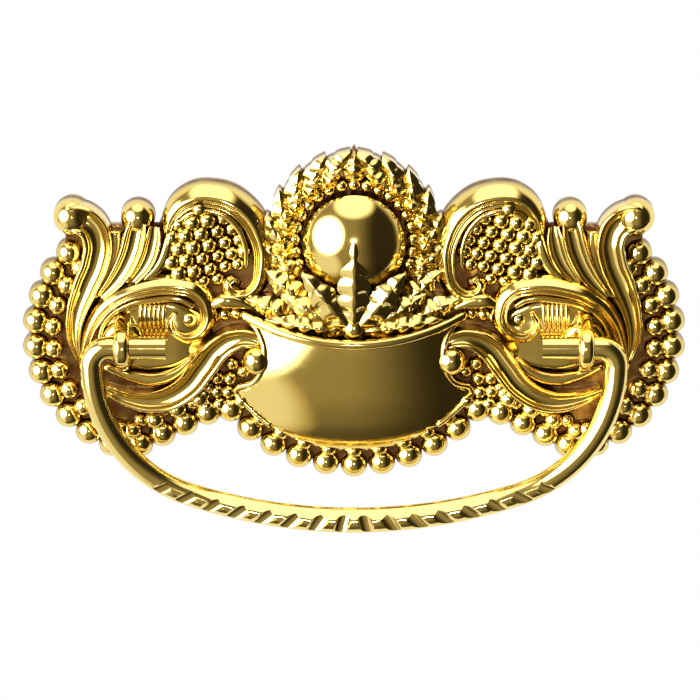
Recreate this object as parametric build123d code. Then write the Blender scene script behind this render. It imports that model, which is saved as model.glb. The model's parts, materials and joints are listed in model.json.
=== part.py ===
from build123d import *
from math import atan2, cos, degrees, radians, sin
import os

# Cast brass bail pull for a drawer: an ornamented back plate with two ears, a bail
# whose ends are sprung into the ears, and two screws that come through the drawer front.
# The model stands upright: X runs along the pull, Z is up and the front faces -Y.
# The relief is drawn flat, as (u, v) with heights above the back face, and then stood up.

# Fixing: two screws at the usual boring for a drawer pull
screw_spacing = 76.2
drawer_front = 19.0
shank_radius = 2.08
thread_radius = 1.70
thread_clearance = 0.04
thread_length = 4.4
tap_allowance = 0.4
head_radius = 4.1
head_height = 2.6
slot_width = 1.1
slot_depth = 1.2

# Back plate
plate_height = 2.2
wing_radius = 20.2
wing_inset = 5.4
wing_rise = 0.5
wing_start = -80.0
wing_end = 44.0
scroll_disc_radius = 9.2
outer_bulb_radius = 2.9
inner_bulb_radius = 2.45
centre_radius = 27.0
centre_rise = 5.2
centre_half_angle = 52.0
centre_top = 8.2
notch_angle = 51.0
crest_radius = 14.3
crest_rise = 16.9

# Relief, as heights above the back face
leaf_height = 5.6
scroll_height = 5.8
shelf_height = 4.2
wreath_height = 5.3
slope = 8.0
relief_foot = 1.4
knob_height = 6.8
knob_radius = 2.6
curl_radius = 1.6
volute_radius = 1.8
small_leaf_width = 2.6

# Beads and berries
bead_radius = 2.1
bead_height = 4.4
bead_sides = 6
bead_lean = 40
bead_inset = 0.75
bead_pitch = 4.2
wing_bead_count = 10
wing_bead_start = 45.0
wing_bead_step = 12.5
centre_bead_count = 11
centre_bead_step = 10.0
berry_radius = 1.7
berry_height = 4.9
berry_sides = 6

# Dome, the wreath round it and the palmette that leans on it
dome_radius = 8.4
dome_base = 2.5
wreath_radius = 12.9
wreath_leaf_length = 5.8
wreath_leaf_width = 3.0
wreath_lean = 78.0
wreath_angles = (4, 25, 46, 67)
palmette_foot = 3.2
foot_ball_radius = 2.1
foot_ball_height = 8.6
middle_leaf_root = 7.4
middle_leaf_rise = 0.6
middle_leaf_length = 15.2
middle_leaf_width = 5.4
middle_leaf_tilt = 18.0
middle_leaf_bottom = 0.4

# Bowl below the palmette
bowl_half_width = 18.4
bowl_end_rise = 4.6
bowl_lip_rise = 0.5
bowl_foot = 18.6
bowl_front = 9.2
bowl_sweep = 40.0
bowl_belly_rise = -3.5
bowl_turn_rise = -11.5
bowl_setback = 1.3
bowl_foot_height = 3.2
bowl_foot_half_width = 19.6
bowl_foot_end = -8.9
bowl_waist = 14.8
bowl_waist_rise = -2.6
bowl_margin = 2.0
lip_width = 1.3
lip_proud = 0.5

# Ears
ear_thickness = 2.6
ear_radius = 3.4
ear_rise = 5.6
ear_drop = 6.2
ear_root_radius = 3.5
ear_root_height = 5.4
ear_root_sides = 8
ear_foot = 1.0
pivot_height = 8.5

# Bail
rod_radius = 1.9
pin_clearance = 0.08
pin_overhang = 5.9
end_play = 0.8
shoulder_radius = 3.0
grip_drop = 29.6
grip_radius = 85.0
grip_swell = 0.35
rod_bevel = 1.1
notch_count = 16
notch_pitch = 4.45
notch_depth = 0.55
notch_lean = 4.2

ear_place = screw_spacing / 2
hole_radius = thread_radius + thread_clearance
eye_radius = rod_radius + pin_clearance


# Relief shapes

def raised(outline, bottom, top, draft=0):
    """Solid that stands on a flat outline, with sides that lean in by the draft angle."""
    return extrude(Pos(0, 0, bottom) * outline, amount=top - bottom, dir=(0, 0, 1), taper=draft)


def strip(start, middle, end, widths):
    """Outline of a curved strip along the arc through three points."""
    spine = ThreePointArc(start, middle, end)
    sides = []
    for side in (-0.5, 0.5):
        points = []
        for place, width in zip((0, 0.5, 1), widths):
            along = spine % place
            points.append(spine @ place + Vector(-along.Y, along.X) * (side * width))
        sides.append(ThreePointArc(*points))
    far_end = Line(sides[0] @ 1, sides[1] @ 1)
    near_end = Line(sides[1] @ 0, sides[0] @ 0)
    return make_face([sides[0], far_end, sides[1], near_end])


def leaf(root, tip, width):
    """Outline of a pointed leaf between two points."""
    root = Vector(*root)
    tip = Vector(*tip)
    along = (tip - root).normalized()
    middle = root + (tip - root) * 0.5
    side = Vector(-along.Y, along.X) * (width / 2)
    return make_face([ThreePointArc(root, middle - side, tip), ThreePointArc(tip, middle + side, root)])


def bead(radius, height, sides):
    """Cut bead: a post under one ring of facets, with its foot on the back face."""
    shoulder = height - 0.6 * radius
    outline = RegularPolygon(radius, sides)
    post = extrude(outline, amount=shoulder, dir=(0, 0, 1))
    return post + raised(outline, shoulder, height, bead_lean)


def kite(root, tip, width):
    """Outline of a short leaf with straight edges, broadest near its tip."""
    root = Vector(*root)
    tip = Vector(*tip)
    along = (tip - root).normalized()
    shoulder = root + (tip - root) * 0.55
    side = Vector(-along.Y, along.X) * (width / 2)
    return make_face(Polyline(root, shoulder - side, tip, shoulder + side, close=True))


def on_ear(points):
    """Points of the right wing, given from its ear's axis in shares of the wing's radius."""
    return [(ear_place + wing_radius * u, wing_radius * v) for u, v in points]


def wing_strip(points, widths):
    """Curved strip of the right wing, with its points and widths in shares of the wing's radius."""
    return strip(*on_ear(points), [wing_radius * width for width in widths])


def on_palmette(u, v):
    """Point of the palmette, given in shares of the dome's radius."""
    return (dome_radius * u, dome_radius * v)


def both_sides(shapes):
    """The right half's shapes and their mirror images."""
    return shapes + [mirror(shape, about=Plane.YZ) for shape in shapes]


# Plate outline: a middle lobe, a round crest and a wing about each ear

wing_centre = (ear_place - wing_inset, wing_rise)


def wing_point(angle):
    across = wing_radius * cos(radians(angle))
    return (wing_centre[0] + across, wing_centre[1] + wing_radius * sin(radians(angle)))


def centre_point(angle):
    return (centre_radius * sin(radians(angle)), centre_rise - centre_radius * cos(radians(angle)))


centre_left = centre_point(-centre_half_angle)
centre_right = centre_point(centre_half_angle)
centre_lobe = make_face(
    [
        ThreePointArc(centre_left, centre_point(0), centre_right),
        Polyline(centre_right, (centre_right[0], centre_top), (centre_left[0], centre_top), centre_left),
    ]
)
notch_corner = centre_point(notch_angle)
wing_shoulder, wing_valley, scroll_valley = on_ear([(0.47, 0.916), (0.094, 0.955), (-0.327, 0.955)])
scroll_centre, outer_bulb, inner_bulb = on_ear([(-0.733, 0.822), (0.406, 1.045), (-0.129, 1.045)])
wing = make_face(
    [
        Line(notch_corner, wing_point(wing_start)),
        ThreePointArc(wing_point(wing_start), wing_point((wing_start + wing_end) / 2), wing_point(wing_end)),
        Polyline(wing_point(wing_end), wing_shoulder, wing_valley, scroll_valley, (0, crest_rise)),
        Polyline((0, crest_rise), (0, centre_rise), notch_corner),
    ]
)
bulbs = Pos(*outer_bulb) * Circle(outer_bulb_radius) + Pos(*inner_bulb) * Circle(inner_bulb_radius)
right_wing = wing + bulbs + Pos(*scroll_centre) * Circle(scroll_disc_radius)
left_wing = mirror(right_wing, about=Plane.YZ)
crest_disc = Pos(0, crest_rise) * Circle(crest_radius)
outline = centre_lobe + right_wing + left_wing + crest_disc
plate = extrude(outline, amount=plate_height, dir=(0, 0, 1))

# Acanthus lobes that fan out of the wing's corner

lobe_shapes = [
    wing_strip([(0.272, 1.02), (0.228, 0.743), (0.347, 0.446)], (0.168, 0.168, 0.129)),
    wing_strip([(0.342, 0.485), (0.416, 0.178), (0.361, -0.149)], (0.139, 0.109, 0.074)),
    wing_strip([(-0.124, 1.01), (-0.04, 0.673), (0.173, 0.366)], (0.158, 0.149, 0.084)),
    wing_strip([(-0.292, 0.97), (-0.233, 0.703), (-0.079, 0.485)], (0.129, 0.124, 0.084)),
]
lobes = [raised(shape, relief_foot, leaf_height) for shape in lobe_shapes]
bulb_heads = [
    raised(Pos(*outer_bulb) * Circle(outer_bulb_radius), plate_height, leaf_height),
    raised(Pos(*inner_bulb) * Circle(inner_bulb_radius), plate_height, leaf_height),
]

# Scrolls: one over the berries, one round the ear's recess and one below it

scroll_shapes = [
    wing_strip([(-0.371, 1.02), (-0.723, 1.223), (-1.069, 1)], (0.074, 0.114, 0.129)),
    wing_strip([(-1.059, 1.02), (-1.139, 0.663), (-1.02, 0.366)], (0.129, 0.114, 0.099)),
    wing_strip([(-0.624, 0.406), (-0.252, 0.45), (0.124, 0.257)], (0.119, 0.104, 0.099)),
    wing_strip([(0.094, 0.282), (0.248, 0.059), (0.327, -0.228)], (0.099, 0.084, 0.074)),
    wing_strip([(-0.614, 0.366), (-0.683, 0.158), (-0.554, -0.02)], (0.109, 0.089, 0.074)),
    wing_strip([(-1.045, -0.045), (-0.817, -0.109), (-0.579, -0.356)], (0.129, 0.168, 0.139)),
    wing_strip([(-0.609, -0.327), (-0.327, -0.51), (0.064, -0.505)], (0.139, 0.124, 0.074)),
]
scrolls = [raised(shape, relief_foot, scroll_height) for shape in scroll_shapes]
shelf_shape = wing_strip([(-0.53, -0.257), (-0.252, -0.381), (0.064, -0.317)], (0.079, 0.109, 0.069))
shelf = raised(shelf_shape, relief_foot, shelf_height)
small_leaf_shape = leaf(*on_ear([(-0.733, 0.277), (-1.03, 0.307)]), small_leaf_width)
small_leaf = raised(small_leaf_shape, relief_foot, scroll_height)
knob_place, curl_place, volute_place = on_ear([(-1.104, -0.149), (-0.495, 0.153), (-0.97, 0.485)])
knobs = [
    Pos(*knob_place) * bead(knob_radius, knob_height, bead_sides),
    Pos(*curl_place) * bead(curl_radius, scroll_height, berry_sides),
    Pos(*volute_place) * bead(volute_radius, scroll_height, berry_sides),
]

# Berries inside the upper scroll

berry_places = on_ear(
    [
        (-0.634, 1.079), (-0.812, 1.059), (-0.475, 0.96), (-0.703, 0.896), (-0.911, 0.901), (-0.525, 0.782),
        (-0.752, 0.708), (-0.941, 0.703), (-0.594, 0.614), (-0.802, 0.535),
    ]
)
berry = bead(berry_radius, berry_height, berry_sides)
berries = [Pos(*place) * berry for place in berry_places]

# Beads along the edge of the wings and of the middle lobe

edge_bead = bead(bead_radius, bead_height, bead_sides)
wing_beads = []
for step in range(wing_bead_count):
    wing_beads.append(Pos(*wing_point(wing_bead_start - wing_bead_step * step)) * edge_bead)
lower_edge = Line(wing_point(wing_start), notch_corner)
lower_bead_count = int(lower_edge.length / bead_pitch)
along = lower_edge % 0
inward = Vector(along.Y, -along.X) * bead_inset
for step in range(lower_bead_count):
    place = lower_edge @ 0 + along * (bead_pitch * (step + 0.2)) + inward
    wing_beads.append(Pos(place) * edge_bead)
centre_beads = []
for step in range(centre_bead_count):
    angle = (step - (centre_bead_count - 1) / 2) * centre_bead_step
    centre_beads.append(Pos(*centre_point(angle)) * edge_bead)

# Crest: dome, wreath of leaves and the palmette in front

upright = (Align.CENTER, Align.CENTER, Align.MIN)
dome = Pos(0, crest_rise, dome_base) * Sphere(dome_radius, arc_size1=0, align=upright)
blade = kite((-wreath_leaf_length / 2, 0), (wreath_leaf_length / 2, 0), wreath_leaf_width)
wreath = []
for angle in wreath_angles:
    middle = Pos(wreath_radius * cos(radians(angle)), crest_rise + wreath_radius * sin(radians(angle)))
    wreath.append(raised(middle * Rot(0, 0, angle + wreath_lean) * blade, relief_foot, wreath_height, slope))
top_blade = Pos(0, crest_rise + wreath_radius) * Rot(0, 0, 90) * blade
top_leaf = raised(top_blade, relief_foot, wreath_height, slope)

middle_leaf_plane = Plane(
    origin=(0, palmette_foot + middle_leaf_rise, middle_leaf_root), x_dir=(1, 0, 0),
    z_dir=(0, -sin(radians(middle_leaf_tilt)), cos(radians(middle_leaf_tilt))),
)
middle_leaf_outline = middle_leaf_plane * leaf((0, 0), (0, middle_leaf_length), middle_leaf_width)
middle_leaf = extrude(middle_leaf_outline, amount=middle_leaf_root - middle_leaf_bottom, dir=(0, 0, -1))
side_leaf_forms = [
    ((0.07, 0.38), (0.9, 1.47), 0.58, 1.32),
    ((0.1, 0.38), (1.34, 0.86), 0.43, 1.18),
    ((0.12, 0.38), (2.04, 0.68), 0.36, 1.07),
    ((1.02, 0.79), (1.74, 1.27), 0.38, 1.0),
]
side_leaves = []
for root, tip, width, rise in side_leaf_forms:
    side_leaf = leaf(on_palmette(*root), on_palmette(*tip), width * dome_radius)
    side_leaves.append(raised(side_leaf, relief_foot, rise * leaf_height))
foot_ball = Pos(0, palmette_foot) * bead(foot_ball_radius, foot_ball_height, bead_sides)

# Bowl: a wall that swells forward below the palmette, with a lip along its top edge

lip_left, lip_middle, lip_right = (
    (-bowl_half_width, bowl_end_rise), (0, bowl_lip_rise), (bowl_half_width, bowl_end_rise)
)
foot_left, foot_middle, foot_right = (
    (-bowl_foot_half_width, bowl_foot_end), (0, -bowl_foot), (bowl_foot_half_width, bowl_foot_end)
)
bowl_outline = make_face(
    [
        ThreePointArc(lip_left, lip_middle, lip_right),
        ThreePointArc(lip_right, (bowl_waist, bowl_waist_rise), foot_right),
        ThreePointArc(foot_right, foot_middle, foot_left),
        ThreePointArc(foot_left, (-bowl_waist, bowl_waist_rise), lip_left),
    ]
)
swell_plane = Plane(origin=(0, 0, 0), x_dir=(0, 1, 0), z_dir=(1, 0, 0))
swell_top = bowl_end_rise + bowl_margin
swell_bottom = -bowl_foot - bowl_margin
swell_profile = make_face(
    Polyline(
        (swell_top, bowl_front - bowl_setback), (bowl_belly_rise, bowl_front),
        (bowl_turn_rise, bowl_front - bowl_setback), (swell_bottom, bowl_foot_height),
        (swell_bottom, bowl_front - bowl_sweep), (swell_top, bowl_front - bowl_sweep), close=True,
    )
)
swell = revolve(
    swell_plane * swell_profile, axis=Axis((0, 0, bowl_front - bowl_sweep), (0, 1, 0)), revolution_arc=360
)
bowl = extrude(bowl_outline, amount=bowl_front + bowl_margin, dir=(0, 0, 1)) & swell
lip_band = strip(lip_left, lip_middle, lip_right, (lip_width, lip_width, lip_width))
lip = extrude(lip_band, amount=bowl_front + bowl_margin, dir=(0, 0, 1)) & (Pos(0, 0, lip_proud) * swell)

# Ears with their cross holes, each on a root that takes the screw's thread

ear_plane = Plane(origin=(ear_place - ear_thickness / 2, 0, 0), x_dir=(0, 1, 0), z_dir=(1, 0, 0))
eye_circle = Pos(0, pivot_height) * Circle(ear_radius)
ear_base = Line((-ear_drop, ear_foot), (ear_rise, ear_foot))
ear_face = make_hull(eye_circle.edges() + [ear_base])
ear = extrude(ear_plane * ear_face, amount=ear_thickness, dir=(1, 0, 0))
ear_root_shape = Pos(ear_place, 0) * RegularPolygon(ear_root_radius, ear_root_sides)
ear_root = raised(ear_root_shape, ear_foot, ear_root_height)
eye_hole = Pos(ear_place, 0, pivot_height) * Rot(0, 90, 0) * Cylinder(eye_radius, 3 * ear_thickness)

# Tapped holes

tap_depth = thread_length + tap_allowance
tap = Pos(ear_place, 0, tap_depth / 2) * Cylinder(hole_radius, tap_depth)

# One casting: the right half's shapes are mirrored, and all of them stand on the plate

right_half = lobes + bulb_heads + scrolls + [shelf, small_leaf] + knobs + berries
right_half += wing_beads + wreath + side_leaves + [ear, ear_root]
middle = [dome, top_leaf, middle_leaf, foot_ball, bowl, lip] + centre_beads
backplate = plate.fuse(*both_sides(right_half), *middle)
backplate = backplate.cut(*both_sides([eye_hole, tap]))

# Bail: a rod that drops from the shoulders into one long curve, thicker at the middle

shoulder_start = ear_place + ear_thickness / 2 + end_play
leg_place = shoulder_start + shoulder_radius
grip_centre = grip_radius - grip_drop
leg_top = shoulder_radius
corner_reach_square = grip_radius**2 - leg_place**2 - (grip_centre + leg_top) ** 2
corner_radius = corner_reach_square / (2 * (grip_radius - leg_place))
corner_place = leg_place - corner_radius
grip_half_angle = degrees(atan2(corner_place, grip_centre + leg_top))


def bail_edges(shift):
    """One long edge of the bail, a given way outside its centre line, from shoulder to shoulder."""
    swell_out = grip_swell if shift > 0 else -grip_swell
    leg = leg_place + shift
    bend_reach = (shoulder_radius + shift) * cos(radians(45))
    bend_middle = (shoulder_start + bend_reach, -leg_top + bend_reach)
    corner_reach = corner_radius + shift
    corner_turn = radians(90 - grip_half_angle)
    joint = (
        corner_place + corner_reach * cos(corner_turn), -leg_top - corner_reach * sin(corner_turn)
    )
    corner_middle = (
        corner_place + corner_reach * cos(corner_turn / 2), -leg_top - corner_reach * sin(corner_turn / 2)
    )
    right_points = (joint, corner_middle, (leg, -leg_top), bend_middle, (shoulder_start, shift))
    mirrored = [(-u, v) for u, v in right_points]
    return [
        ThreePointArc((shoulder_start, shift), bend_middle, (leg, -leg_top)),
        ThreePointArc((leg, -leg_top), corner_middle, joint),
        ThreePointArc(joint, (0, -grip_drop - shift - swell_out), mirrored[0]),
        ThreePointArc(mirrored[0], mirrored[1], mirrored[2]),
        ThreePointArc(mirrored[2], mirrored[3], mirrored[4]),
    ]


outer_edges = bail_edges(rod_radius)
inner_edges = bail_edges(-rod_radius)
end_lines = []
for side in (1, -1):
    end_lines.append(Line((side * shoulder_start, rod_radius), (side * shoulder_start, -rod_radius)))
bail_face = make_face(outer_edges + inner_edges + end_lines)
rod = extrude(Pos(0, 0, pivot_height - rod_radius) * bail_face, amount=2 * rod_radius, dir=(0, 0, 1))
flat_faces = rod.faces().filter_by(Axis.Z)
long_edges = [edge for edge in flat_faces.edges() if edge.geom_type == GeomType.CIRCLE]
rod = chamfer(long_edges, rod_bevel)
pin_end = ear_place - ear_thickness / 2 - pin_overhang
pin_length = shoulder_start - pin_end
pin = Pos((pin_end + shoulder_start) / 2, 0, pivot_height) * Rot(0, 90, 0) * Cylinder(rod_radius, pin_length)

notch_side = notch_depth * 2**0.5
notches = []
for step in range(notch_count):
    run = (step - (notch_count - 1) / 2) * notch_pitch
    turn = degrees(run / grip_radius)
    place = Rot(0, 0, turn) * Pos(0, -grip_radius, pivot_height + rod_radius)
    lean = -notch_lean * (step - (notch_count - 1) / 2)
    groove = Rot(0, 0, lean) * Rot(0, 45, 0) * Box(notch_side, 6 * rod_radius, notch_side)
    notches.append(Pos(0, grip_centre) * place * groove)
bail = rod.fuse(*both_sides([pin])).cut(*notches)

# Screws: thread in the tapped hole, shank through the drawer front, slotted head behind it

thread = Pos(0, 0, thread_length / 2) * Cylinder(thread_radius, thread_length)
shank = Pos(0, 0, -drawer_front / 2) * Cylinder(shank_radius, drawer_front)
head = Pos(0, 0, -drawer_front - head_height / 2) * Cylinder(head_radius, head_height)
slot = Pos(0, 0, -drawer_front - head_height + slot_depth / 2) * Box(3 * head_radius, slot_width, slot_depth)
screw = thread + shank + head - slot

# Everything stands up on its back face

os.makedirs("parts", exist_ok=True)
nodes = {
    "backplate": backplate,
    "bail": bail,
    "left_screw": Pos(-ear_place, 0, 0) * screw,
    "right_screw": Pos(ear_place, 0, 0) * screw,
}
for name, shape in nodes.items():
    export_step(Plane.XZ * shape, f"parts/{name}.step")
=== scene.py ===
import bpy
import json
from math import atan2, cos, pi, radians, sin, sqrt, tan, tanh
from mathutils import Matrix, Vector


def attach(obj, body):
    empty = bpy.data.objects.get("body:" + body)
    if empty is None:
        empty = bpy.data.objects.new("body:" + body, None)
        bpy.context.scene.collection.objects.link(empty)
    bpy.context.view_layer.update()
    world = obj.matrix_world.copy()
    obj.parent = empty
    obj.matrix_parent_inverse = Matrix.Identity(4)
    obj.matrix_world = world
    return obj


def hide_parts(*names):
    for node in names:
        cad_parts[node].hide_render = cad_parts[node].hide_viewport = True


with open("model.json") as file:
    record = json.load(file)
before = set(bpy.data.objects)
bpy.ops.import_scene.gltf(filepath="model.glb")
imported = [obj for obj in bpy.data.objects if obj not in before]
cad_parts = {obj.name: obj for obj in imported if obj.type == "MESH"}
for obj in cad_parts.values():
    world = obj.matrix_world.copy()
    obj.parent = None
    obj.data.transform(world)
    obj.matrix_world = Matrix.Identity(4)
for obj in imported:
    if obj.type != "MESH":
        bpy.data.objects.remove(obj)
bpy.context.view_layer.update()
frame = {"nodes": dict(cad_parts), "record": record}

# Polished brass, the metal of the plate and the bail.
# The castings are buffed bright and lacquered, so the high places mirror the room,
# while the deep places keep a brown film of tarnish, darkened further as painted shade, and the grain of the
# sand mould.


def reckon(tree, operation, *values):
    """Math node on sockets and plain numbers."""
    node = tree.nodes.new("ShaderNodeMath")
    node.operation = operation
    for slot, value in zip(node.inputs, values):
        if isinstance(value, bpy.types.NodeSocket):
            tree.links.new(value, slot)
        else:
            slot.default_value = value
    return node.outputs[0]


def ramp(tree, value, start, end, low=0.0, high=1.0, soft=False):
    """Straight or soft step of a value, from low at its start to high at its end."""
    node = tree.nodes.new("ShaderNodeMapRange")
    if soft:
        node.interpolation_type = "SMOOTHSTEP"
    for name, number in (("From Min", start), ("From Max", end), ("To Min", low), ("To Max", high)):
        node.inputs[name].default_value = number
    tree.links.new(value, node.inputs["Value"])
    return node.outputs["Result"]


def noise(tree, place, scale, detail=2.0):
    """Cloudy pattern at a place."""
    node = tree.nodes.new("ShaderNodeTexNoise")
    node.inputs["Scale"].default_value = scale
    node.inputs["Detail"].default_value = detail
    tree.links.new(place, node.inputs["Vector"])
    return node.outputs["Fac"]


def split(tree, place):
    """The three parts of a place or direction, by letter."""
    node = tree.nodes.new("ShaderNodeSeparateXYZ")
    tree.links.new(place, node.inputs["Vector"])
    return node.outputs


def mixed(tree, share, first, second):
    """Colour between two, by a share."""
    node = tree.nodes.new("ShaderNodeMix")
    node.data_type = "RGBA"
    node.inputs["A"].default_value = (*first, 1)
    node.inputs["B"].default_value = (*second, 1)
    tree.links.new(share, node.inputs["Factor"])
    return node.outputs["Result"]


def bumped(tree, height, distance, strength):
    """Direction of a surface whose skin has the given heights."""
    node = tree.nodes.new("ShaderNodeBump")
    node.inputs["Strength"].default_value = strength
    node.inputs["Distance"].default_value = distance
    tree.links.new(height, node.inputs["Height"])
    return node.outputs["Normal"]


def new_material(name):
    """Material with its node tree."""
    material = bpy.data.materials.new(name)
    material.use_nodes = True
    return material, material.node_tree


def ageing_and_shade_group():
    """Node group: how deep a spot lies, which sets its tarnish film and painted shade, how rough it is and
    how its skin ripples.
    """
    group = bpy.data.node_groups.new("brass_ageing_and_shade", "ShaderNodeTree")
    for name in ("Reach", "Polish", "Sunken"):
        group.interface.new_socket(name, in_out="INPUT", socket_type="NodeSocketFloat")
    for name in ("Depth", "Roughness", "Height"):
        group.interface.new_socket(name, in_out="OUTPUT", socket_type="NodeSocketFloat")
    given = group.nodes.new("NodeGroupInput").outputs
    result = group.nodes.new("NodeGroupOutput").inputs
    place = group.nodes.new("ShaderNodeTexCoord").outputs["Object"]

    # Ambient occlusion finds the hollows, and their share darkens the colour as painted shade as well as
    # tarnish.
    hollow = group.nodes.new("ShaderNodeAmbientOcclusion")
    hollow.samples = 6
    hollow.only_local = True
    group.links.new(given["Reach"], hollow.inputs["Distance"])
    depth = ramp(group, hollow.outputs["AO"], start=0.62, end=0.12, soft=True)

    # The low ground gets the film and painted shade all over, and the back gets half as much.
    out = split(group, place)["Y"]
    ground_film_and_shade = ramp(group, out, start=-0.0040, end=-0.0019, soft=True)
    halved_on_back = ramp(group, out, start=-0.0014, end=-0.0004, low=1.0, high=0.5)
    ground = reckon(group, "MULTIPLY", ground_film_and_shade, halved_on_back)
    deepest_film_and_shade = reckon(group, "MAXIMUM", depth, reckon(group, "MULTIPLY", ground, given["Sunken"]))

    cloud = noise(group, place, scale=460, detail=5)
    stain = ramp(group, cloud, start=0.3, end=0.6, low=0.8)
    # The Depth output carries the tarnish film and painted shade of the hollows and the low ground.
    group.links.new(reckon(group, "MULTIPLY", deepest_film_and_shade, stain), result["Depth"])

    haze = reckon(group, "MULTIPLY_ADD", cloud, 0.10, given["Polish"])
    group.links.new(reckon(group, "MULTIPLY_ADD", deepest_film_and_shade, 0.26, haze), result["Roughness"])

    grain = noise(group, place, scale=900, detail=4)
    sand = reckon(group, "MULTIPLY", grain, reckon(group, "MULTIPLY_ADD", depth, 0.9, 0.08))
    ripple = noise(group, place, scale=160)
    group.links.new(reckon(group, "MULTIPLY_ADD", ripple, 0.55, sand), result["Height"])
    return group


ageing_and_shade = ageing_and_shade_group()


def brass(name, bright, film_and_shade, reach, sunken, polish=0.05, lacquer=0.12):
    """Lacquered brass with a film of tarnish and painted shade in its hollows."""
    material, tree = new_material(name)
    metal = tree.nodes["Principled BSDF"].inputs
    metal["Metallic"].default_value = 1.0
    metal["Coat Roughness"].default_value = 0.06
    age_and_shade = tree.nodes.new("ShaderNodeGroup")
    age_and_shade.node_tree = ageing_and_shade
    age_and_shade.inputs["Polish"].default_value = polish
    age_and_shade.inputs["Reach"].default_value = reach
    age_and_shade.inputs["Sunken"].default_value = sunken
    depth = age_and_shade.outputs["Depth"]
    tree.links.new(reckon(tree, "MULTIPLY_ADD", depth, -lacquer, lacquer), metal["Coat Weight"])
    # The base colour runs from bright to the film colour with depth: tarnish and painted shade in the
    # hollows.
    tree.links.new(mixed(tree, depth, bright, film_and_shade), metal["Base Color"])
    tree.links.new(age_and_shade.outputs["Roughness"], metal["Roughness"])
    tree.links.new(bumped(tree, age_and_shade.outputs["Height"], distance=0.00012, strength=0.35), metal["Normal"])
    return material


# Its film colour is near black: tarnish and painted shade in the hollows and over the low ground.
plate_brass = brass(
    "plate_brass", bright=(0.93, 0.71, 0.22), film_and_shade=(0.09, 0.012, 0.004), reach=0.0017, sunken=0.95
)

# Plate: the thin ground of the casting, which lies against the drawer front.
# Its back is plain and flat, with a tapped hole behind each ear.
# The slab is the solid's own, cut off just under the front of the ground.

MM = 0.001
ground_top = 2.15
ear_place = frame["record"]["mounts"][0]["dims"]["spacing_x_mm"] / 2


def enter(piece):
    """Makes one piece the only selected one, in edit mode with all of its mesh selected."""
    bpy.ops.object.select_all(action="DESELECT")
    piece.select_set(True)
    bpy.context.view_layer.objects.active = piece
    bpy.ops.object.mode_set(mode="EDIT")
    bpy.ops.mesh.select_all(action="SELECT")


def leave():
    """Closes edit mode with the faces turned outwards."""
    bpy.ops.mesh.select_all(action="SELECT")
    bpy.ops.mesh.normals_make_consistent(inside=False)
    bpy.ops.object.mode_set(mode="OBJECT")


def joined(pieces, name):
    """Several pieces made one mesh."""
    bpy.ops.object.select_all(action="DESELECT")
    for piece in pieces:
        piece.select_set(True)
    bpy.context.view_layer.objects.active = pieces[0]
    if len(pieces) > 1:
        bpy.ops.object.join()
    pieces[0].name = name
    pieces[0].data.name = name
    bpy.ops.object.transform_apply(location=True, rotation=True, scale=True)
    return pieces[0]


def carve(piece, tool, operation):
    """Cuts a piece with a tool, which is then thrown away."""
    bpy.ops.object.select_all(action="DESELECT")
    piece.select_set(True)
    bpy.context.view_layer.objects.active = piece
    cut = piece.modifiers.new("cut", "BOOLEAN")
    cut.operation = operation
    cut.solver = "EXACT"
    cut.object = tool
    bpy.ops.object.modifier_apply(modifier="cut")
    bpy.data.objects.remove(tool)


solid = frame["nodes"]["backplate"]
ground = bpy.data.objects.new("ground", solid.data.copy())
bpy.context.scene.collection.objects.link(ground)
enter(ground)
bpy.ops.mesh.remove_doubles(threshold=1e-6)
leave()
bpy.ops.object.select_all(action="DESELECT")
bpy.ops.mesh.primitive_cube_add(size=0.2, location=(0, 0.1 - ground_top * MM, 0))
carve(ground, bpy.context.object, "INTERSECT")

# Beads along the edge of the wings and of the middle lobe, cast with the plate.
# Each is a ball on a short round foot, and a row of smaller ones runs inside them.

bead_size = 2.28
bead_crown = 4.5
small_bead_size = 1.7
small_bead_crown = 4.7
bead_pitch = 4.2
wing_place = Vector((ear_place - 5.4, 0.5))
wing_reach = 20.02
wing_inset = 2.9
wing_step = 12.5
wing_start = 45
wing_inner_start = 43.5
wing_end = -80
edge_inset = 0.75
edge_inner_inset = 2.8
edge_filler_inset = 3.6
lobe_place = Vector((0, 5.2))
lobe_reach = 26.82
lobe_inset = 2.5
lobe_step = 10
lobe_end = 51


def round_bead(size, crown, segments=22):
    """Ball of the given radius on a foot that reaches down into the plate, drawn at the origin."""
    middle = (crown - size) * MM
    bpy.ops.object.select_all(action="DESELECT")
    bpy.ops.mesh.primitive_uv_sphere_add(
        segments=segments, ring_count=segments // 2, radius=size * MM, location=(0, 0, middle)
    )
    ball = bpy.context.object
    bpy.ops.object.transform_apply(location=True, rotation=True, scale=True)
    enter(ball)
    bpy.ops.mesh.bisect(plane_co=(0, 0, middle), plane_no=(0, 0, 1), clear_inner=True)
    bpy.ops.mesh.extrude_region_move(TRANSFORM_OT_translate={"value": (0, 0, 0.2 * MM - middle)})
    bpy.ops.mesh.edge_face_add()
    leave()
    return ball


def set_out(model, places):
    """Copies of a model with their own meshes at (along, up, raise, scale) places; the model goes."""
    copies = []
    for along, up, lift, scale in places:
        copy = bpy.data.objects.new(model.name, model.data.copy())
        bpy.context.scene.collection.objects.link(copy)
        copy.data.transform(Matrix.Translation(Vector((along, up, lift)) * MM) @ Matrix.Scale(scale, 4))
        copies.append(copy)
    bpy.data.objects.remove(model)
    return copies


def on_wing(angle, reach=wing_reach):
    """Point of the wing's round edge."""
    return wing_place + reach * Vector((cos(radians(angle)), sin(radians(angle))))


def on_lobe(angle, reach=lobe_reach):
    """Point of the middle lobe's round edge."""
    return lobe_place + reach * Vector((sin(radians(angle)), -cos(radians(angle))))


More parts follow.
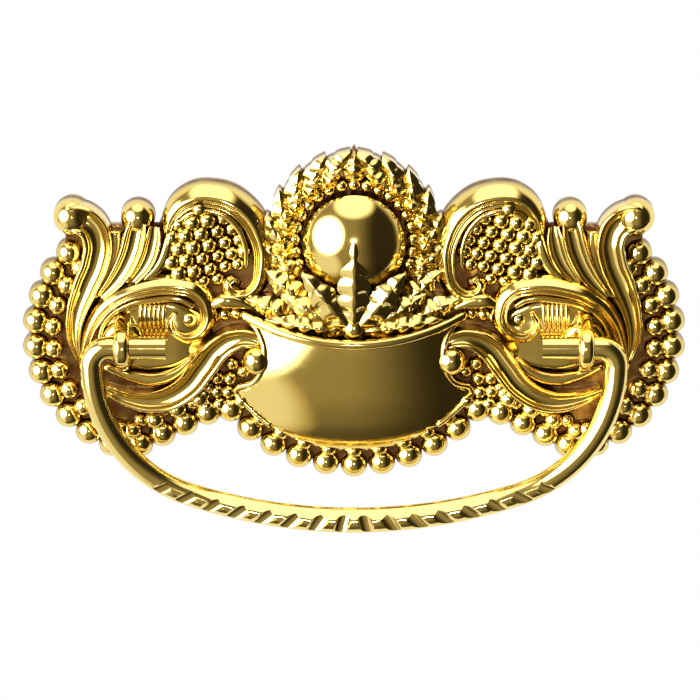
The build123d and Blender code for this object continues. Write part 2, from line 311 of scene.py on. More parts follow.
edge_places = []
inner_places = []
for step in range(10):
    edge_places.append((*on_wing(wing_start - wing_step * step), 0, 1))
    inner_places.append((*on_wing(wing_inner_start - wing_step * step, wing_reach - wing_inset), 0, 1))
along_edge = (on_lobe(lobe_end) - on_wing(wing_end)).normalized()
inward = Vector((along_edge.y, -along_edge.x))
for step in range(4):
    place = on_wing(wing_end) + along_edge * (bead_pitch * (step + 0.2)) + inward * edge_inset
    filler = place + along_edge * (bead_pitch / 2) + inward * edge_filler_inset
    edge_places.append((*place, 0, 1))
    inner_places.append((*(place + inward * edge_inner_inset), 0, 1))
    inner_places.append((*filler, 0, 0.8))
middle_places = []
middle_inner_places = []
for step in range(-5, 6):
    middle_places.append((*on_lobe(lobe_step * step), 0, 1))
    middle_inner_places.append((*on_lobe(lobe_step * step, lobe_reach - lobe_inset), 0.4, 0.86))

right_half = set_out(round_bead(bead_size, bead_crown), edge_places)
right_half += set_out(round_bead(small_bead_size, small_bead_crown, 16), inner_places)
centre = set_out(round_bead(bead_size, bead_crown), middle_places)
centre += set_out(round_bead(small_bead_size, small_bead_crown, 16), middle_inner_places)

# Scrolls and acanthus lobes of the wings, drawn flat on the ground and stood up with the rest.
# Each is a bar with a rounded, grooved or hollowed back that swells and thins along its line,
# as a carver would leave it in the pattern for the mould.

relief_foot = 1.3
skirt = -4.0


def section(name, crown_points):
    """Outline across a bar: x to each side and y below its crest, as shares of the half width."""
    points = [(-1, skirt), *crown_points, (1, skirt)]
    bpy.ops.object.select_all(action="DESELECT")
    bpy.ops.curve.primitive_bezier_circle_add()
    outline = bpy.context.object
    outline.name = name
    outline.data.resolution_u = 4
    spline = outline.data.splines[0]
    spline.bezier_points.add(len(points) - len(spline.bezier_points))
    for point, (across, below) in zip(spline.bezier_points, points):
        point.co = (across, below, 0)
        kind = "VECTOR" if below == skirt else "AUTO"
        point.handle_left_type = kind
        point.handle_right_type = kind
    return outline


def bar(stations, outline, steps=7, foot=relief_foot):
    """Bar through (along, up, crest height, half width) stations, cut off level at its foot."""
    bpy.ops.object.select_all(action="DESELECT")
    bpy.ops.curve.primitive_bezier_curve_add()
    piece = bpy.context.object
    piece.data.dimensions = "3D"
    piece.data.twist_mode = "Z_UP"
    piece.data.resolution_u = steps
    piece.data.bevel_mode = "OBJECT"
    piece.data.bevel_object = outline
    piece.data.use_fill_caps = True
    line = piece.data.splines[0]
    line.radius_interpolation = "CARDINAL"
    line.bezier_points.add(len(stations) - len(line.bezier_points))
    for point, (along, up, crest, half) in zip(line.bezier_points, stations):
        point.co = Vector((along, up, crest)) * MM
        point.handle_left_type = "AUTO"
        point.handle_right_type = "AUTO"
        point.radius = half * MM
    bpy.ops.object.convert(target="MESH")
    enter(piece)
    bpy.ops.mesh.remove_doubles(threshold=2e-6)
    bpy.ops.mesh.bisect(plane_co=(0, 0, foot * MM), plane_no=(0, 0, 1), use_fill=True, clear_inner=True)
    leave()
    return piece


def by_ear(stations):
    """Stations given from the right ear's axis, moved to the plate's own centre."""
    return [(ear_place + along, up, crest, half) for along, up, crest, half in stations]


rounded = section("rounded", [(-1, -1.1), (-0.72, -0.3), (0, 0), (0.72, -0.3), (1, -1.1)])
hollowed = section("hollowed", [
    (-1, -0.8), (-0.9, -0.1), (-0.74, -0.06), (-0.4, -0.42),
    (0.1, -0.6), (0.6, -0.34), (0.84, -0.02), (1, -0.7),
])
grooved = section("grooved", [
    (-1, -1), (-0.8, -0.35), (-0.5, -0.5), (-0.3, -0.08), (-0.05, 0), (0.25, -0.2), (0.7, -0.66), (1, -1.2),
])

outer_lobe = [
    (9.6, 20.5, 5.2, 1.4), (7.8, 20.9, 6.0, 2.4), (5.4, 20.1, 6.2, 2.5), (4.0, 17.4, 6.1, 2.4),
    (4.4, 13.6, 5.9, 2.3), (6.2, 9.2, 5.6, 2.1), (7.8, 4.6, 5.2, 1.6), (8.2, 0.4, 4.8, 1.1),
    (7.4, -3.4, 4.0, 0.5),
]
inner_lobe = [
    (-2.6, 20.4, 5.6, 1.5), (-2.2, 18.4, 5.9, 1.8), (-1.2, 14.8, 5.8, 1.8), (0.8, 11.0, 5.5, 1.5),
    (3.7, 7.6, 5.0, 0.8),
]
third_lobe = [(-5.4, 19.6, 5.2, 0.9), (-5.1, 17.4, 5.6, 1.4), (-3.9, 13.6, 5.5, 1.4), (-1.2, 9.8, 5.0, 0.8)]
fourth_lobe = [
    (-7.7, 18.4, 4.8, 0.7), (-7.4, 16.2, 5.2, 1.1), (-6.2, 13.2, 5.2, 1.1), (-3.6, 10.4, 4.8, 0.7),
]
web = [(1.1, 18.6, 4.4, 1.2), (1.2, 15.6, 4.6, 1.5), (2.5, 11.6, 4.6, 1.4), (5.0, 7.4, 4.4, 0.9)]
for stations in (outer_lobe, inner_lobe, third_lobe):
    right_half.append(bar(by_ear(stations), hollowed))
for stations in (fourth_lobe, web):
    right_half.append(bar(by_ear(stations), rounded))

upper_scroll = [
    (-7.2, 18.2, 4.8, 0.8), (-8.2, 21.4, 5.2, 1.4), (-10.8, 23.9, 5.5, 1.9), (-15.0, 24.5, 5.7, 2.1),
    (-19.6, 22.5, 5.9, 2.1), (-22.6, 18.0, 5.9, 1.9), (-23.1, 12.6, 5.8, 1.6), (-21.3, 8.5, 5.6, 1.25),
    (-18.7, 7.9, 5.5, 1.05), (-17.2, 9.6, 5.4, 0.85), (-18.4, 11.0, 5.0, 0.5),
]
upper_scroll_rim = [
    (-8.9, 18.4, 4.2, 0.35), (-10.2, 20.9, 4.8, 0.45), (-12.8, 22.0, 5.1, 0.5), (-15.8, 21.8, 5.2, 0.5),
    (-18.6, 19.8, 5.2, 0.5), (-20.2, 16.4, 5.1, 0.45), (-20.4, 12.6, 4.7, 0.35),
]
ear_scroll = [
    (7.2, -5.2, 3.8, 0.6), (6.6, -1.0, 4.6, 1.0), (5.0, 3.4, 5.2, 1.3), (1.6, 7.2, 5.7, 1.5),
    (-3.6, 9.3, 6.0, 1.65), (-9.0, 9.7, 6.2, 1.7), (-12.6, 8.4, 6.1, 1.55), (-14.1, 5.4, 5.9, 1.35),
    (-13.6, 2.5, 5.7, 1.15), (-11.5, 0.8, 5.5, 1.0), (-9.1, 1.0, 5.3, 0.85), (-7.9, 2.9, 5.0, 0.65),
    (-8.7, 4.8, 4.7, 0.4),
]
ear_scroll_rim = [
    (4.2, -0.6, 3.8, 0.45), (3.0, 3.2, 4.1, 0.55), (-0.6, 6.0, 4.5, 0.6), (-4.8, 7.0, 4.8, 0.65),
    (-9.2, 7.2, 4.9, 0.6), (-11.6, 6.0, 4.8, 0.45),
]
lower_scroll = [
    (3.2, -8.4, 4.0, 0.8), (-1.0, -10.0, 4.9, 1.4), (-5.8, -10.2, 5.5, 1.9), (-10.2, -8.0, 5.8, 2.1),
    (-13.2, -4.3, 5.9, 2.2), (-15.6, -1.2, 6.0, 2.1), (-18.4, 0.5, 6.1, 1.8), (-21.2, 0.6, 6.1, 1.4),
    (-23.8, -0.6, 5.8, 0.8),
]
shelf = [
    (3.4, -4.6, 3.6, 0.6), (-1.6, -6.3, 4.1, 1.1), (-5.4, -6.7, 4.3, 1.3), (-8.6, -5.6, 4.3, 1.1),
    (-11.4, -3.0, 4.0, 0.6),
]
tongue = [(-14.4, 6.2, 5.2, 0.6), (-16.6, 7.0, 5.9, 1.4), (-18.8, 6.8, 5.8, 1.2), (-21.6, 5.9, 5.4, 0.3)]
right_half.append(bar(by_ear(upper_scroll), grooved, foot=0.1))
right_half.append(bar(by_ear(upper_scroll_rim), rounded))
right_half.append(bar(by_ear(ear_scroll), grooved))
right_half.append(bar(by_ear(ear_scroll_rim), rounded))
right_half.append(bar(by_ear(lower_scroll), hollowed))
right_half.append(bar(by_ear(shelf), rounded))
right_half.append(bar(by_ear(tongue), rounded))
recess = [
    (3.0, 0.4, 3.4, 4.2), (-1.6, 1.0, 4.2, 5.6), (-6.0, 1.0, 4.3, 5.8), (-10.0, 0.8, 4.1, 4.8),
    (-13.2, 0.4, 3.2, 3.4), (-15.4, 0.2, 1.8, 2.0),
]
dished = section("dished", [(-1, -0.12), (-0.6, -0.08), (0, -0.01), (0.6, -0.08), (1, -0.12)])
right_half.append(bar(by_ear(recess), dished))
flute_pitch = 0.75
for step in range(6):
    flute = -2.9 - flute_pitch * step
    stations = [(flute - 0.2, 6.4, 4.4, 0.36), (flute, 3.6, 4.6, 0.42), (flute + 0.1, 0.8, 4.2, 0.3)]
    right_half.append(bar(by_ear(stations), rounded, steps=3))

# Berries, knobs and the balled ends of the lobes, cast with the wings as plain balls.
# Most berries are packed close inside the upper scroll, and a few smaller ones lie beside the bowl.

bunch_along = 23.9
bunch_up = 16.4
bunch_half_width = 6.4
bunch_half_height = 6.9
berry_size = 1.32
berry_crown = 4.5
berry_across = 2.35
berry_rise = 2.05
knob_size = 2.5
knob_crown = 6.3
bulb_size = 3.1
bulb_crown = 6.2

berry_places = []
for row in range(-4, 5):
    for column in range(-4, 5):
        along = berry_across * (column + 0.5 * (row % 2))
        up = berry_rise * row
        bunch = 1 - (along / bunch_half_width) ** 2 - (up / bunch_half_height) ** 2
        if bunch > 0:
            sway = sin(12.9 * row + 7.3 * column)
            berry_along = bunch_along + along + 0.3 * sway
            berry_up = bunch_up + up - 0.15 * along
            lift = 0.9 * bunch + 0.2 + 0.2 * sway
            berry_places.append((berry_along, berry_up, lift, 1 + 0.1 * sway))
for along, up in (
    (19.4, 4.6), (21.4, 4.4), (23.2, 4.0), (20.6, 6.4), (22.4, 6.4),
    (18.4, -5.4), (20.2, -4.0), (20.6, -6.6), (22.7, -6.5), (20.9, -8.9),
    (22.8, -8.8), (24.9, -9.2), (26.9, -10.8), (24.6, -11.4), (22.4, -11.0),
):
    berry_places.append((along, up, 0.1, 0.92))
right_half += set_out(round_bead(berry_size, berry_crown, 16), berry_places)
knob_places = [
    (ear_place - 22.0, -3.0, 1.3, 1.0), (ear_place - 10.9, 3.4, 0, 0.66), (ear_place - 18.6, 9.6, 0, 0.42),
]
right_half += set_out(round_bead(knob_size, knob_crown, 26), knob_places)
bulb_places = [(ear_place + 8.2, 20.9, 0, 1.0), (ear_place - 2.6, 20.8, 0, 0.92)]
right_half += set_out(round_bead(bulb_size, bulb_crown, 28), bulb_places)

# Crest: a plain dome in a ring of small beads, with laurel leaves laid round it.
# The leaves climb from both sides and meet at the top, where one points straight up.

crest_place = Vector((0, 16.9))
dome_bend = 10.2
dome_top = 10.9
dome_edge = 6.6
ring_reach = 9.7
ring_step = 12.4
ring_bead_size = 1.1
ring_bead_crown = 5.6
laurel_form = {"notches": 3, "arch": 0.4, "keel": 1.2, "edge": 0.15, "foot": 0.3}

bpy.ops.object.select_all(action="DESELECT")
bpy.ops.mesh.primitive_uv_sphere_add(
    segments=96, ring_count=64, radius=dome_bend * MM,
    location=(0, crest_place.y * MM, (dome_top - dome_bend) * MM)
)
dome = bpy.context.object
bpy.ops.object.transform_apply(location=True, rotation=True, scale=True)
enter(dome)
bpy.ops.mesh.bisect(plane_co=(0, 0, dome_edge * MM), plane_no=(0, 0, 1), clear_inner=True)
bpy.ops.mesh.extrude_region_move(TRANSFORM_OT_translate={"value": (0, 0, (relief_foot - dome_edge) * MM)})
bpy.ops.mesh.edge_face_add()
leave()
centre.append(dome)

ring_places = []
for step in range(-10, 11):
    turn = radians(90 + ring_step * step)
    ring_places.append((ring_reach * cos(turn), crest_place.y + ring_reach * sin(turn), 0, 1))
centre += set_out(round_bead(ring_bead_size, ring_bead_crown, 16), ring_places)


def leaf(root, tip, half, notches=4, arch=0.4, keel=1.4, edge=0.2, foot=relief_foot):
    """Leaf with a raised midrib and a toothed edge, from a root to a tip, both (along, up, out)."""
    root, tip = Vector(root) * MM, Vector(tip) * MM
    heading = Vector((tip.x - root.x, tip.y - root.y, 0)).normalized()
    aside = Vector((-heading.y, heading.x, 0))
    lengths, widths = 8 * notches, 12
    bpy.ops.object.select_all(action="DESELECT")
    bpy.ops.mesh.primitive_grid_add(x_subdivisions=lengths, y_subdivisions=widths, size=2)
    blade = bpy.context.object
    for vertex in blade.data.vertices:
        share = (vertex.co.x + 1) / 2
        across = vertex.co.y
        swell = max(0.04, sin(pi * (0.06 + 0.93 * share) ** 0.85) ** 0.8)
        lobe = (notches * share) % 1
        tooth = 1 - edge * (1 - sin(pi * lobe**0.7)) * abs(across)
        rib = keel * (1 - abs(across)) ** 1.15
        flank = 0.22 * keel * sin(pi * abs(across)) * (1 - 1.6 * sin(pi * lobe))
        rise = arch * sin(pi * share) + (rib - flank) * swell
        spread = across * half * swell * tooth
        vertex.co = root.lerp(tip, share) + aside * (spread * MM) + Vector((0, 0, rise * MM))
    enter(blade)
    bpy.ops.mesh.extrude_region_move()
    bpy.ops.transform.resize(value=(1, 1, 0), center_override=(0, 0, foot * MM))
    leave()
    return blade


def laurel(angle, reach, length, half, crown, lean):
    """Leaf of the wreath, laid along the ring and turned a little outwards."""
    middle = crest_place + reach * Vector((cos(radians(angle)), sin(radians(angle))))
    along = Vector((cos(radians(angle + lean)), sin(radians(angle + lean)))) * (length / 2)
    return leaf((*(middle - along), crown - 0.7), (*(middle + along), crown), half, **laurel_form)


for angle in (-30, -12, 6, 24, 42, 60, 76):
    right_half.append(laurel(angle, reach=12.9, length=7.2, half=1.8, crown=4.8, lean=58))
for angle in (-20, -2, 16, 34, 52, 70):
    right_half.append(laurel(angle, reach=11.4, length=5.4, half=1.4, crown=5.6, lean=66))
top_root = (0, crest_place.y + 9.9, 4.6)
top_tip = (0, crest_place.y + 15.0, 4.6)
centre.append(leaf(top_root, top_tip, 1.8, **laurel_form))

# Palmette: pointed leaves that spread from a ball at the foot of the dome.
# They grow out of the bowl below, and the tall middle one lies up against the dome.

palmette_foot = 3.2
palmette_ball_size = 2.2
palmette_ball_crown = 8.9
palmette = [
    ((0.6, 3.0, 7.6), (8.4, 12.6, 8.2), 2.5, 4), ((2.4, 3.0, 6.4), (11.8, 8.6, 6.4), 2.2, 4),
    ((1.6, 2.6, 7.2), (14.6, 4.2, 6.2), 1.9, 5), ((7.6, 6.6, 5.2), (14.4, 12.2, 5.2), 2.2, 4),
    ((9.2, 4.4, 5.0), (18.0, 7.6, 5.0), 2.0, 4), ((9.8, 8.4, 4.6), (12.2, 15.6, 4.8), 1.9, 4),
]
for root, tip, half, notches in palmette:
    right_half.append(leaf(root, tip, half, notches))
tall_root = (0, palmette_foot, 7.8)
tall_tip = (0, 18.4, 11.0)
centre.append(leaf(tall_root, tall_tip, 2.8, notches=5, arch=0.1, keel=1.3, edge=0.2, foot=2.0))
centre += set_out(round_bead(palmette_ball_size, palmette_ball_crown, 26), [(0, palmette_foot - 0.2, 0, 1)])

# Bowl: a plain wall that swells forward below the palmette, hollow behind its rolled lip.
# It is part of the same casting and has the broadest polished face of the pull.

bowl_half_width = 18.4
bowl_end_rise = 4.6
bowl_lip_rise = 0.5
bowl_waist = bowl_half_width - 3.6
bowl_waist_rise = -2.6
bowl_hip = bowl_half_width + 1.2
bowl_hip_rise = -8.9
bowl_foot_rise = -18.6
bowl_axis = -30.8
bowl_span = 66
hollow_span = 46
blank_foot = 1.2
blank_depth = 12
wall_top = (6.6, 7.6)
wall_turn = (-12.0, 8.0)
wall_end = (-20.6, 3.2)
wall_back = 0.6
lip_reach = 39.75
lip_size = 0.85
rim_size = 0.5


def arc(start, middle, end, count):
    """Points of the circle through three points, from the first to the last."""
    a, b, c = Vector(start), Vector(middle), Vector(end)
    far_a, far_b, far_c = a.length_squared, b.length_squared, c.length_squared
    twice = 2 * (a.x * (b.y - c.y) + b.x * (c.y - a.y) + c.x * (a.y - b.y))
    hub = Vector((
        (far_a * (b.y - c.y) + far_b * (c.y - a.y) + far_c * (a.y - b.y)) / twice,
        (far_a * (c.x - b.x) + far_b * (a.x - c.x) + far_c * (b.x - a.x)) / twice,
    ))
    first = atan2(a.y - hub.y, a.x - hub.x)
    sweep = (a - hub).angle_signed(b - hub) + (b - hub).angle_signed(c - hub)
    reach = (a - hub).length
    turns = [first - sweep * step / count for step in range(count + 1)]
    return [(hub.x + reach * cos(turn), hub.y + reach * sin(turn)) for turn in turns]


def turned(profile, name, span):
    """Closed (up, out) profile turned part of the way round the bowl's upright axis."""
    bpy.ops.object.select_all(action="DESELECT")
    bpy.ops.mesh.primitive_circle_add(vertices=len(profile), radius=MM)
    piece = bpy.context.object
    piece.name = name
    for vertex, (up, out) in zip(piece.data.vertices, profile):
        vertex.co = Vector((0, up, out - bowl_axis)) * MM
    enter(piece)
    bpy.ops.transform.rotate(value=-radians(span / 2), orient_axis="Y", center_override=(0, 0, 0))
    bpy.ops.mesh.spin(steps=span * 2, angle=radians(span), center=(0, 0, 0), axis=(0, 1, 0))
    bpy.ops.mesh.select_all(action="SELECT")
    bpy.ops.mesh.remove_doubles(threshold=1e-6)
    bpy.ops.mesh.fill_holes(sides=0)
    leave()
    piece.location.z = bowl_axis * MM
    bpy.ops.object.transform_apply(location=True, rotation=True, scale=True)
    return piece


wall = arc(wall_top, (-4.0, 9.2), wall_turn, 16) + arc(wall_turn, (-16.4, 6.4), wall_end, 8)[1:]
bowl = turned(wall + [(wall_end[0], wall_back), (wall_top[0], wall_back)], "bowl", bowl_span)
right_end, left_end = (bowl_half_width, bowl_end_rise), (-bowl_half_width, bowl_end_rise)
right_hip, left_hip = (bowl_hip, bowl_hip_rise), (-bowl_hip, bowl_hip_rise)
lip_line = arc(left_end, (0, bowl_lip_rise), right_end, 40)
side_right = arc(right_end, (bowl_waist, bowl_waist_rise), right_hip, 12)
foot_line = arc(right_hip, (0, bowl_foot_rise), left_hip, 40)
side_left = arc(left_hip, (-bowl_waist, bowl_waist_rise), left_end, 12)
around = lip_line[:-1] + side_right[:-1] + foot_line[:-1] + side_left[:-1]
bpy.ops.object.select_all(action="DESELECT")
bpy.ops.mesh.primitive_circle_add(vertices=len(around), radius=MM, fill_type="NGON")
blank = bpy.context.object
for vertex, (along, up) in zip(blank.data.vertices, around):
    vertex.co = Vector((along, up, blank_foot)) * MM
enter(blank)
bpy.ops.mesh.extrude_region_move(TRANSFORM_OT_translate={"value": (0, 0, blank_depth * MM)})
leave()
carve(bowl, blank, "INTERSECT")
hollow_profile = [(8, 4.6), (-2.6, 5.4), (-3.4, 6.4), (-2.6, 7.4), (8, 7.6)]
carve(bowl, turned(hollow_profile, "hollow", hollow_span), "DIFFERENCE")
centre.append(bowl)

bpy.ops.object.select_all(action="DESELECT")
bpy.ops.curve.primitive_bezier_circle_add()
tube = bpy.context.object
tube.name = "tube"
tube.data.resolution_u = 4
for point, turn in zip(tube.data.splines[0].bezier_points, (0, 90, 180, 270)):
    point.co = (cos(radians(turn)), sin(radians(turn)), 0)
    point.handle_left_type = "AUTO"
    point.handle_right_type = "AUTO"
lip_stations = []
for along, up in lip_line[::4]:
    lip_stations.append((along, up + 0.1, bowl_axis + sqrt(lip_reach**2 - along**2), lip_size))
centre.append(bar(lip_stations, tube))


def wall_out(up):
    """How far the bowl's wall stands out at one height, in its middle."""
    for (high, near), (low, far) in zip(wall, wall[1:]):
        if low <= up <= high:
            return far + (near - far) * (up - low) / (high - low)
    return wall[0][1]


rim_stations = []
for along, up in side_right[::3] + foot_line[1:8:3]:
    rim_out = bowl_axis + sqrt((wall_out(up) - bowl_axis) ** 2 - along**2)
    rim_stations.append((along, up, rim_out, rim_size))
right_half.append(bar(rim_stations, tube))

# Ears: two rounded fins that stand out of the wings and carry the bail's pins.
# Each is bored across for its pin and rises from a root that takes the screw's thread.

ear_thickness = 2.6
ear_eye = 3.4
ear_foot_length = 11.8
ear_foot_place = -0.3
ear_foot_rise = 1.2
ear_edge = 0.95
root_size = 3.5
root_depth = 4.2
root_rise = 3.3
root_edge = 1.2
pin_size = 1.9
eye_clearance = 0.08
pivot = 8.5

bpy.ops.object.select_all(action="DESELECT")
bpy.ops.mesh.primitive_cylinder_add(
    vertices=64, radius=ear_eye * MM, depth=ear_thickness * MM,
    location=(ear_place * MM, 0, pivot * MM), rotation=(0, pi / 2, 0)
)
ear = bpy.context.object
bpy.ops.object.transform_apply(location=True, rotation=True, scale=True)
bpy.ops.mesh.primitive_plane_add(
    size=1, location=(ear_place * MM, ear_foot_place * MM, ear_foot_rise * MM)
)
bpy.context.object.scale = (ear_thickness * MM, ear_foot_length * MM, 1)
ear = joined([ear, bpy.context.object], "ear")
enter(ear)
bpy.ops.mesh.convex_hull()
bpy.ops.mesh.select_all(action="SELECT")
bpy.ops.mesh.dissolve_limited(angle_limit=radians(1))
leave()
bpy.ops.object.modifier_add(type="BEVEL")
ear.modifiers["Bevel"].width = ear_edge * MM
ear.modifiers["Bevel"].segments = 5
ear.modifiers["Bevel"].angle_limit = radians(50)
bpy.ops.object.modifier_apply(modifier="Bevel")
bpy.ops.mesh.primitive_cylinder_add(
    vertices=48, radius=(pin_size + eye_clearance) * MM, depth=4 * ear_thickness * MM,
    location=(ear_place * MM, 0, pivot * MM), rotation=(0, pi / 2, 0)
)
carve(ear, bpy.context.object, "DIFFERENCE")
right_half.append(ear)
bpy.ops.object.select_all(action="DESELECT")
bpy.ops.mesh.primitive_cylinder_add(
    vertices=48, radius=root_size * MM, depth=root_depth * MM, location=(ear_place * MM, 0, root_rise * MM)
)
root = bpy.context.object
bpy.ops.object.modifier_add(type="BEVEL")
root.modifiers["Bevel"].width = root_edge * MM
root.modifiers["Bevel"].segments = 5
bpy.ops.object.modifier_apply(modifier="Bevel")
right_half.append(root)

# Casting: plate, ornament and ears are poured as one piece of brass.
# The right wing's relief is mirrored to the left, and all of it is stood up and joined to the ground.
# Broad faces that lie level with the back are shaded flat, as a file leaves them.

for outline in (rounded, hollowed, grooved, dished, tube):
    bpy.data.objects.remove(outline)
wings = joined(right_half, "wings")
bpy.ops.object.modifier_add(type="MIRROR")
wings.modifiers["Mirror"].use_mirror_merge = False
bpy.ops.object.modifier_apply(modifier="Mirror")
relief = joined([wings] + centre, "relief")
relief.rotation_euler = (pi / 2, 0, 0)
casting = joined([ground, relief], "backplate_casting")
bpy.ops.object.shade_smooth_by_angle(angle=radians(38))
for face in casting.data.polygons:
    if abs(face.normal.y) > 0.9999 and face.area > 1e-6:
        face.use_smooth = False
casting.data.materials.clear()
casting.data.materials.append(plate_brass)
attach(casting, "plate")
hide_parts("backplate")

# Bail: a brass rod bent to a long shallow curve, its ends sprung into the ears.
# The front of the grip is nicked with slanting cuts, and a plain strip is left along its top.

# Its film colour darkens the nicks and hollows: tarnish and painted shade.
bail_brass = brass(
    "bail_brass", bright=(0.93, 0.73, 0.25), film_and_shade=(0.30, 0.10, 0.02), reach=0.0012, sunken=0.0
)
shoulder_gap = 0.8
shoulder_bend = 3.0
shoulder_place = ear_place + ear_thickness / 2 + shoulder_gap
pin_overhang = 5.9
pin_end = ear_place - ear_thickness / 2 - pin_overhang
leg_place = shoulder_place + shoulder_bend
grip_drop = 29.6
grip_bend = 85.0
grip_swell = 1.18
grip_rise = grip_bend - grip_drop
leg_rise = grip_rise + shoulder_bend
corner_bend = (grip_bend**2 - leg_place**2 - leg_rise**2) / (2 * (grip_bend - leg_place))
grip_half_turn = atan2(leg_place - corner_bend, leg_rise)
corner_end = Vector((grip_bend * sin(grip_half_turn), grip_rise - grip_bend * cos(grip_half_turn)))


def arc_reach(bend, turn):
    """Length of a curve's handles for a round bend."""
    return 4 / 3 * tan(turn / 4) * bend


straight = (shoulder_place - pin_end) / 3
knots = [
    (Vector((pin_end, 0)), Vector((1, 0)), straight, straight, 1.0),
    (Vector((shoulder_place, 0)), Vector((1, 0)), straight, arc_reach(shoulder_bend, pi / 2), 1.0),
    (Vector((leg_place, -shoulder_bend)), Vector((0, -1)), arc_reach(shoulder_bend, pi / 2),
     arc_reach(corner_bend, pi / 2 - grip_half_turn), 1.0),
    (corner_end, Vector((-cos(grip_half_turn), -sin(grip_half_turn))),
     arc_reach(corner_bend, pi / 2 - grip_half_turn), arc_reach(grip_bend, grip_half_turn), 1.0),
    (Vector((0, -grip_drop)), Vector((-1, 0)), arc_reach(grip_bend, grip_half_turn),
     arc_reach(grip_bend, grip_half_turn), grip_swell),
]
for point, heading, before, after, size in reversed(knots[:-1]):
    knots.append((Vector((-point.x, point.y)), Vector((heading.x, -heading.y)), after, before, size))

bpy.ops.object.select_all(action="DESELECT")
bpy.ops.curve.primitive_bezier_curve_add()
bail = bpy.context.object
bail.data.dimensions = "3D"
bail.data.resolution_u = 24
bail.data.bevel_depth = pin_size * MM
bail.data.bevel_resolution = 14
bail.data.use_fill_caps = True
line = bail.data.splines[0]
line.radius_interpolation = "BSPLINE"
line.bezier_points.add(len(knots) - len(line.bezier_points))
for point, (place, heading, before, after, size) in zip(line.bezier_points, knots):
    point.handle_left_type = "FREE"
    point.handle_right_type = "FREE"
    point.co = (*place * MM, pivot * MM)
    point.handle_left = (*(place - heading * before) * MM, pivot * MM)
    point.handle_right = (*(place + heading * after) * MM, pivot * MM)
    point.radius = size
bpy.ops.object.convert(target="MESH")
enter(bail)
bpy.ops.mesh.remove_doubles(threshold=1e-6)
leave()

strip_tilt = radians(48)
strip_depth = 0.84
strip_fade = 6
for vertex in bail.data.vertices:
    along, up, out = vertex.co / MM
    if up < 0 and abs(along) < corner_end.x:
        spoke = Vector((along, up - grip_rise))
        inward, forward = grip_bend - spoke.length, out - pivot
        from_axis = Vector((inward, forward)).length
        over = inward * sin(strip_tilt) + forward * cos(strip_tilt) - strip_depth * from_axis
        over = max(0, over) * min(1, (corner_end.x - abs(along)) / strip_fade)
        spoke.length = grip_bend - inward + over * sin(strip_tilt)
        vertex.co = Vector((spoke.x, spoke.y + grip_rise, out - over * cos(strip_tilt))) * MM

nick_count = 16
nick_pitch = 4.45
nick_depth = 0.95
nick_lean = radians(44)
nick_radius = 1.4
nick_length = 5.4
nick_drop = 1.3
grip_front = 2.25
for step in range(nick_count):
    offset = (step - (nick_count - 1) / 2) * nick_pitch
    turn = offset / grip_bend
    lean = nick_lean * tanh(offset / (1.6 * nick_pitch))
    bpy.ops.object.select_all(action="DESELECT")
    bpy.ops.mesh.primitive_cylinder_add(vertices=20, radius=nick_radius * MM, depth=nick_length * MM)
    tool = bpy.context.object
    seat = Matrix.Translation(Vector((grip_bend * sin(turn), grip_rise - grip_bend * cos(turn), pivot)) * MM)
    aside = Matrix.Translation(Vector((0, -nick_drop, grip_front + nick_radius - nick_depth)) * MM)
    swing = Matrix.Rotation(turn, 4, "Z")
    slant = Matrix.Rotation(lean, 4, "Z")
    tool.data.transform(seat @ swing @ aside @ slant @ Matrix.Rotation(pi / 2, 4, "X"))
    carve(bail, tool, "DIFFERENCE")
bail.rotation_euler = (pi / 2, 0, 0)
bail = joined([bail], "bail_rod")
bpy.ops.object.shade_smooth_by_angle(angle=radians(34))
bail.data.materials.clear()
bail.data.materials.append(bail_brass)
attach(bail, "bail")
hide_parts("bail")

# Screws: plated steel machine screws that come through the drawer front into the ears' roots.
# Their solids stay as they are; the rolled thread and the zinc's cloudy bloom are in the skin.

steel, tree = new_material("screw_steel")
zinc = tree.nodes["Principled BSDF"].inputs
zinc["Metallic"].default_value = 1.0
place = tree.nodes.new("ShaderNodeTexCoord").outputs["Object"]
bloom = noise(tree, place, scale=420, detail=5)
tree.links.new(mixed(tree, bloom, (0.50, 0.50, 0.47), (0.70, 0.69, 0.66)), zinc["Base Color"])
tree.links.new(ramp(tree, bloom, start=0.0, end=1.0, low=0.42, high=0.24), zinc["Roughness"])
thread = tree.nodes.new("ShaderNodeTexWave")
thread.bands_direction = "Y"
thread.wave_profile = "TRI"
thread.inputs["Scale"].default_value = 449
tree.links.new(place, thread.inputs["Vector"])
stem = ramp(tree, split(tree, place)["Y"], start=0.0182, end=0.0178)
rolled = reckon(tree, "MULTIPLY", thread.outputs["Fac"], stem)
tree.links.new(bumped(tree, rolled, distance=0.00022, strength=1.0), zinc["Normal"])
for name in ("left_screw", "right_screw"):
    screw = frame["nodes"][name]
    screw.data.materials.clear()
    screw.data.materials.append(steel)

# Studio: a white floor well below the pull, in a room that is white behind it and dim in front.
# One strong soft light stands at the left, with weaker ones above and low at the left,
# so the polished fronts stay golden and the edges shine; a small lamp in front gives the sparks.

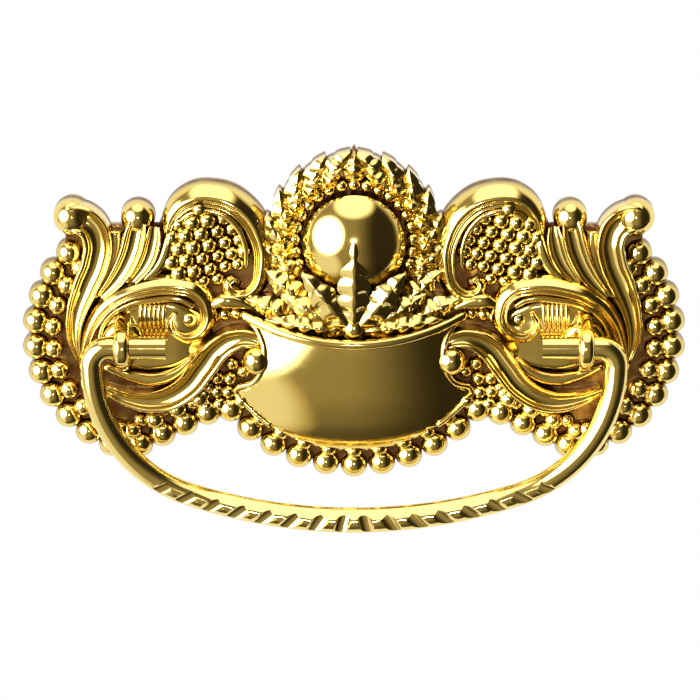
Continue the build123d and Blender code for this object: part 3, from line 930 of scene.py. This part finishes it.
bpy.ops.object.select_all(action="DESELECT")
bpy.ops.mesh.primitive_plane_add(size=1.2, location=(0, 0.55, -0.26))
floor = bpy.context.object
floor.name = "floor"
pale, tree = new_material("pale_floor")
paper = tree.nodes["Principled BSDF"]
paper.inputs["Base Color"].default_value = (0.86, 0.86, 0.86, 1)
paper.inputs["Roughness"].default_value = 0.8
glow = tree.nodes.new("ShaderNodeEmission")
rays = tree.nodes.new("ShaderNodeLightPath").outputs
shown = reckon(tree, "MAXIMUM", rays["Is Camera Ray"], rays["Is Glossy Ray"])
blend = tree.nodes.new("ShaderNodeMixShader")
tree.links.new(shown, blend.inputs["Fac"])
tree.links.new(paper.outputs["BSDF"], blend.inputs[1])
tree.links.new(glow.outputs["Emission"], blend.inputs[2])
tree.links.new(blend.outputs["Shader"], tree.nodes["Material Output"].inputs["Surface"])
floor.data.materials.append(pale)

world = bpy.data.worlds.new("studio")
bpy.context.scene.world = world
world.use_nodes = True
tree = world.node_tree
room = tree.nodes["Background"].inputs
way = tree.nodes.new("ShaderNodeTexCoord").outputs["Generated"]
axes = split(tree, way)


def soft_light(turn, rise, inner, outer, strength):
    """Round soft light in the room, turned to the left and raised, full to one angle and gone at another."""
    turn, rise = radians(turn), radians(rise)
    aimed = tree.nodes.new("ShaderNodeVectorMath")
    aimed.operation = "DOT_PRODUCT"
    aimed.inputs[1].default_value = (-sin(turn) * cos(rise), -cos(turn) * cos(rise), sin(rise))
    tree.links.new(way, aimed.inputs[0])
    edge, core = cos(radians(outer)), cos(radians(inner))
    return ramp(tree, aimed.outputs["Value"], edge, core, high=strength, soft=True)


front = ramp(tree, axes["X"], start=-0.1, end=0.65, low=0.32, high=0.03, soft=True)
below = ramp(tree, axes["Z"], start=-0.95, end=-0.5, low=0.3, soft=True)
level = reckon(tree, "MULTIPLY", front, below)
for light in (
    ramp(tree, axes["Y"], start=-0.14, end=0.16, soft=True),
    soft_light(turn=52, rise=10, inner=22, outer=37, strength=7.0),
    soft_light(turn=4, rise=78, inner=22, outer=38, strength=1.7),
    soft_light(turn=60, rise=-34, inner=14, outer=36, strength=0.9),
):
    level = reckon(tree, "MAXIMUM", level, light)
rays = tree.nodes.new("ShaderNodeLightPath").outputs
shade = tree.nodes.new("ShaderNodeMix")
tree.links.new(rays["Is Camera Ray"], shade.inputs["Factor"])
tree.links.new(level, shade.inputs["A"])
shade.inputs["B"].default_value = 1.0
tree.links.new(shade.outputs["Result"], room["Strength"])
whiteness = ramp(tree, shade.outputs["Result"], start=0.42, end=1.0, soft=True)
tree.links.new(mixed(tree, whiteness, (1.0, 0.84, 0.52), (1.0, 1.0, 1.0)), room["Color"])

spark_place = Vector((-0.01, -0.75, 0.09))
bpy.ops.object.light_add(type="AREA", location=spark_place)
spark = bpy.context.object
spark.name = "spark_light"
spark.data.shape = "DISK"
spark.data.size = 0.06
spark.data.energy = 0.8
spark.rotation_euler = (-spark_place).to_track_quat("-Z", "Y").to_euler()

# Camera: straight in front of the pull and 15 degrees above it, with a long lens.
# The rise and the width of the view are those that the photograph was judged to have.

camera_rise = radians(15)
camera_distance = 0.6
view_width = 0.1149
sensor_width = 36
view_aside = -0.00066
view_drop = 0.00033
camera = bpy.data.objects.new("camera", bpy.data.cameras.new("camera"))
bpy.context.scene.collection.objects.link(camera)
camera.data.sensor_width = sensor_width
camera.data.lens = sensor_width * camera_distance / view_width
image_up = Vector((0, sin(camera_rise), cos(camera_rise)))
aim = Vector((view_aside, -pivot * MM, 0)) - view_drop * image_up
camera.location = aim + camera_distance * Vector((0, -cos(camera_rise), sin(camera_rise)))
camera.rotation_euler = (aim - camera.location).to_track_quat("-Z", "Y").to_euler()
bpy.context.scene.camera = camera
bpy.context.scene.view_settings.view_transform = "Standard"
